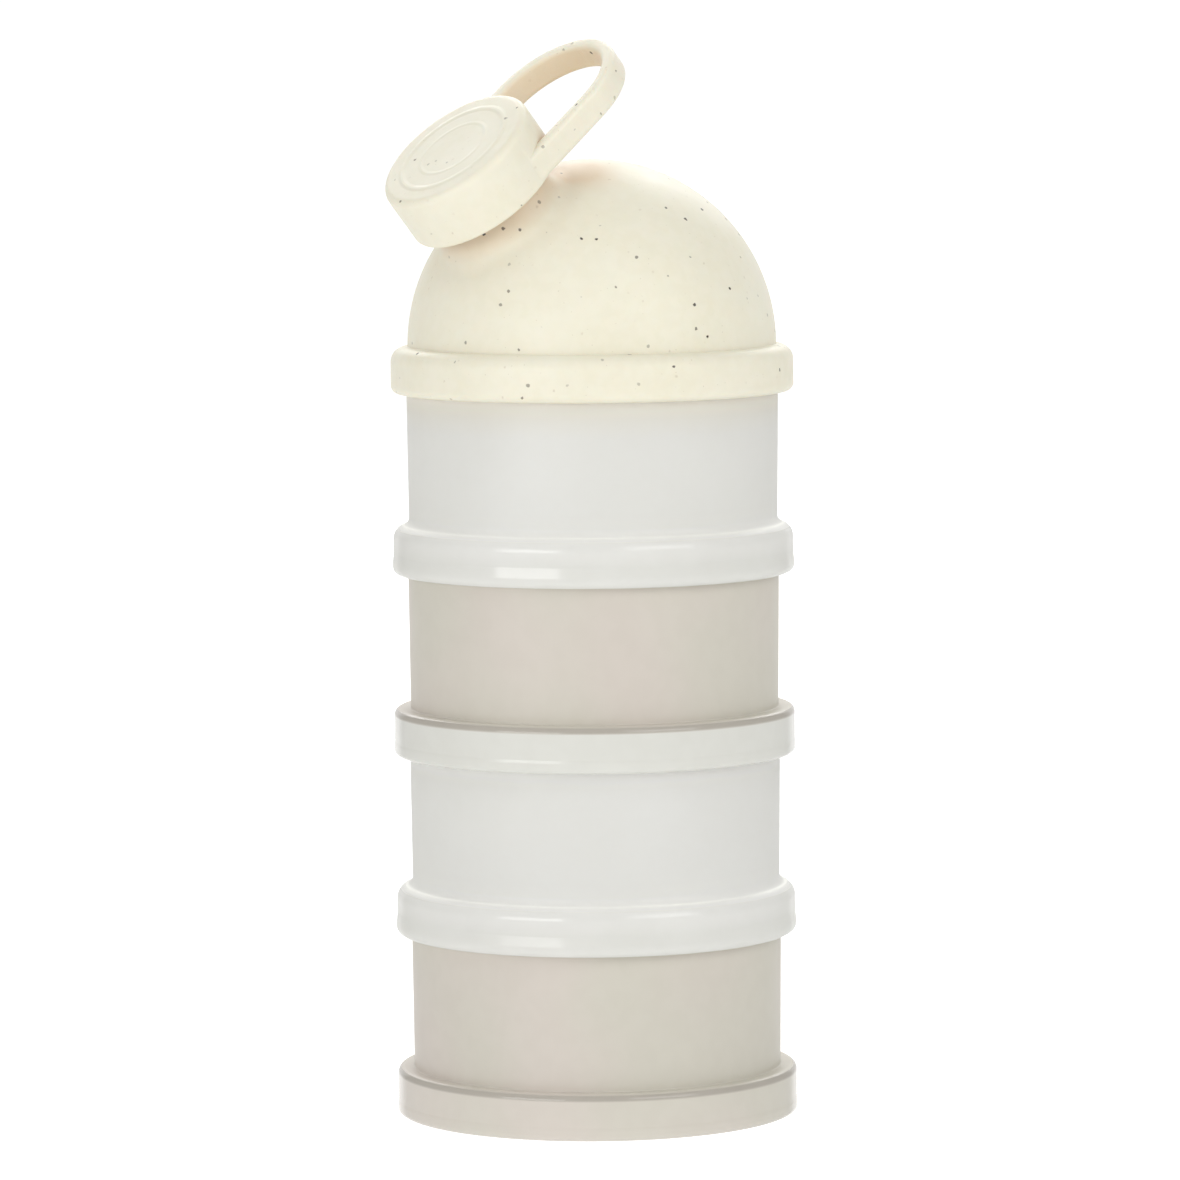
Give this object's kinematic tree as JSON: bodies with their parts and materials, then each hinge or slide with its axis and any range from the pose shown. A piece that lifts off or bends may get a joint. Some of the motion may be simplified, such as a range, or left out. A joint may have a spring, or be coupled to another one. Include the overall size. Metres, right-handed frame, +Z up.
{
  "type": "formula dispenser",
  "caption": "Stack of screw-together cylindrical powder chambers under a domed lid with a tilted pouring spout, closed by a screw cap with a finger loop.",
  "frame": {"origin": "centre of the ring that the stack stands on, on the axis of the stack", "axes": "+Z up along the stack; the spout leans down the dome towards -X and -Y, and the finger loop points up over the dome"},
  "size_m": [0.0781, 0.078, 0.2084],
  "materials": {
    "frosted_clear": "translucent polypropylene, satin",
    "frosted_grey": "translucent warm grey polypropylene, satin",
    "speckled_cream": "cream plastic with fine dark speckles, satin",
    "silicone": "soft matte silicone"
  },
  "bodies": {
    "bottom_chamber": {"chamber_1": "frosted_grey", "chamber_seal_1": "silicone"},
    "second_chamber_seal": {"chamber_seal_2": "silicone"},
    "second_chamber": {"chamber_2": "frosted_clear"},
    "third_chamber_seal": {"chamber_seal_3": "silicone"},
    "third_chamber": {"chamber_3": "frosted_grey"},
    "top_chamber_seal": {"chamber_seal_4": "silicone"},
    "top_chamber": {"chamber_4": "frosted_clear"},
    "lid_seal": {"lid_seal": "silicone"},
    "lid": {"dome_lid": "speckled_cream"},
    "spout_cap_seal": {"spout_cap_seal": "silicone"},
    "spout_cap": {"spout_cap": "speckled_cream"}
  },
  "joints": [
    {"name": "second_chamber_rise", "type": "slide", "parent": "bottom_chamber", "child": "second_chamber_seal", "axis": [0, 0, 1], "range_m": [0, 0.012]},
    {"name": "second_chamber_turn", "type": "hinge", "parent": "second_chamber_seal", "child": "second_chamber", "pos_m": [0, 0, 0.0351], "axis": [0, 0, 1], "range_deg": [0, 360]},
    {"name": "third_chamber_rise", "type": "slide", "parent": "second_chamber", "child": "third_chamber_seal", "axis": [0, 0, 1], "range_m": [0, 0.012]},
    {"name": "third_chamber_turn", "type": "hinge", "parent": "third_chamber_seal", "child": "third_chamber", "pos_m": [0, 0, 0.0702], "axis": [0, 0, 1], "range_deg": [0, 360]},
    {"name": "top_chamber_rise", "type": "slide", "parent": "third_chamber", "child": "top_chamber_seal", "axis": [0, 0, 1], "range_m": [0, 0.012]},
    {"name": "top_chamber_turn", "type": "hinge", "parent": "top_chamber_seal", "child": "top_chamber", "pos_m": [0, 0, 0.1053], "axis": [0, 0, 1], "range_deg": [0, 360]},
    {"name": "lid_rise", "type": "slide", "parent": "top_chamber", "child": "lid_seal", "axis": [0, 0, 1], "range_m": [0, 0.012]},
    {"name": "lid_turn", "type": "hinge", "parent": "lid_seal", "child": "lid", "pos_m": [0, 0, 0.1404], "axis": [0, 0, 1], "range_deg": [0, 360]},
    {"name": "cap_rise", "type": "slide", "parent": "lid", "child": "spout_cap_seal", "axis": [-0.5128, -0.405, 0.757], "range_m": [0, 0.009]},
    {"name": "cap_turn", "type": "hinge", "parent": "spout_cap_seal", "child": "spout_cap", "pos_m": [-0.02308, -0.01822, 0.18366], "axis": [-0.5128, -0.405, 0.757], "range_deg": [0, 540]}
  ],
  "couplings": [
    {"joint": "second_chamber_rise", "follows": "second_chamber_turn", "m_per_rad": 0.0019099},
    {"joint": "third_chamber_rise", "follows": "third_chamber_turn", "m_per_rad": 0.0019099},
    {"joint": "top_chamber_rise", "follows": "top_chamber_turn", "m_per_rad": 0.0019099},
    {"joint": "lid_rise", "follows": "lid_turn", "m_per_rad": 0.0019099},
    {"joint": "cap_rise", "follows": "cap_turn", "m_per_rad": 0.00095493}
  ]
}
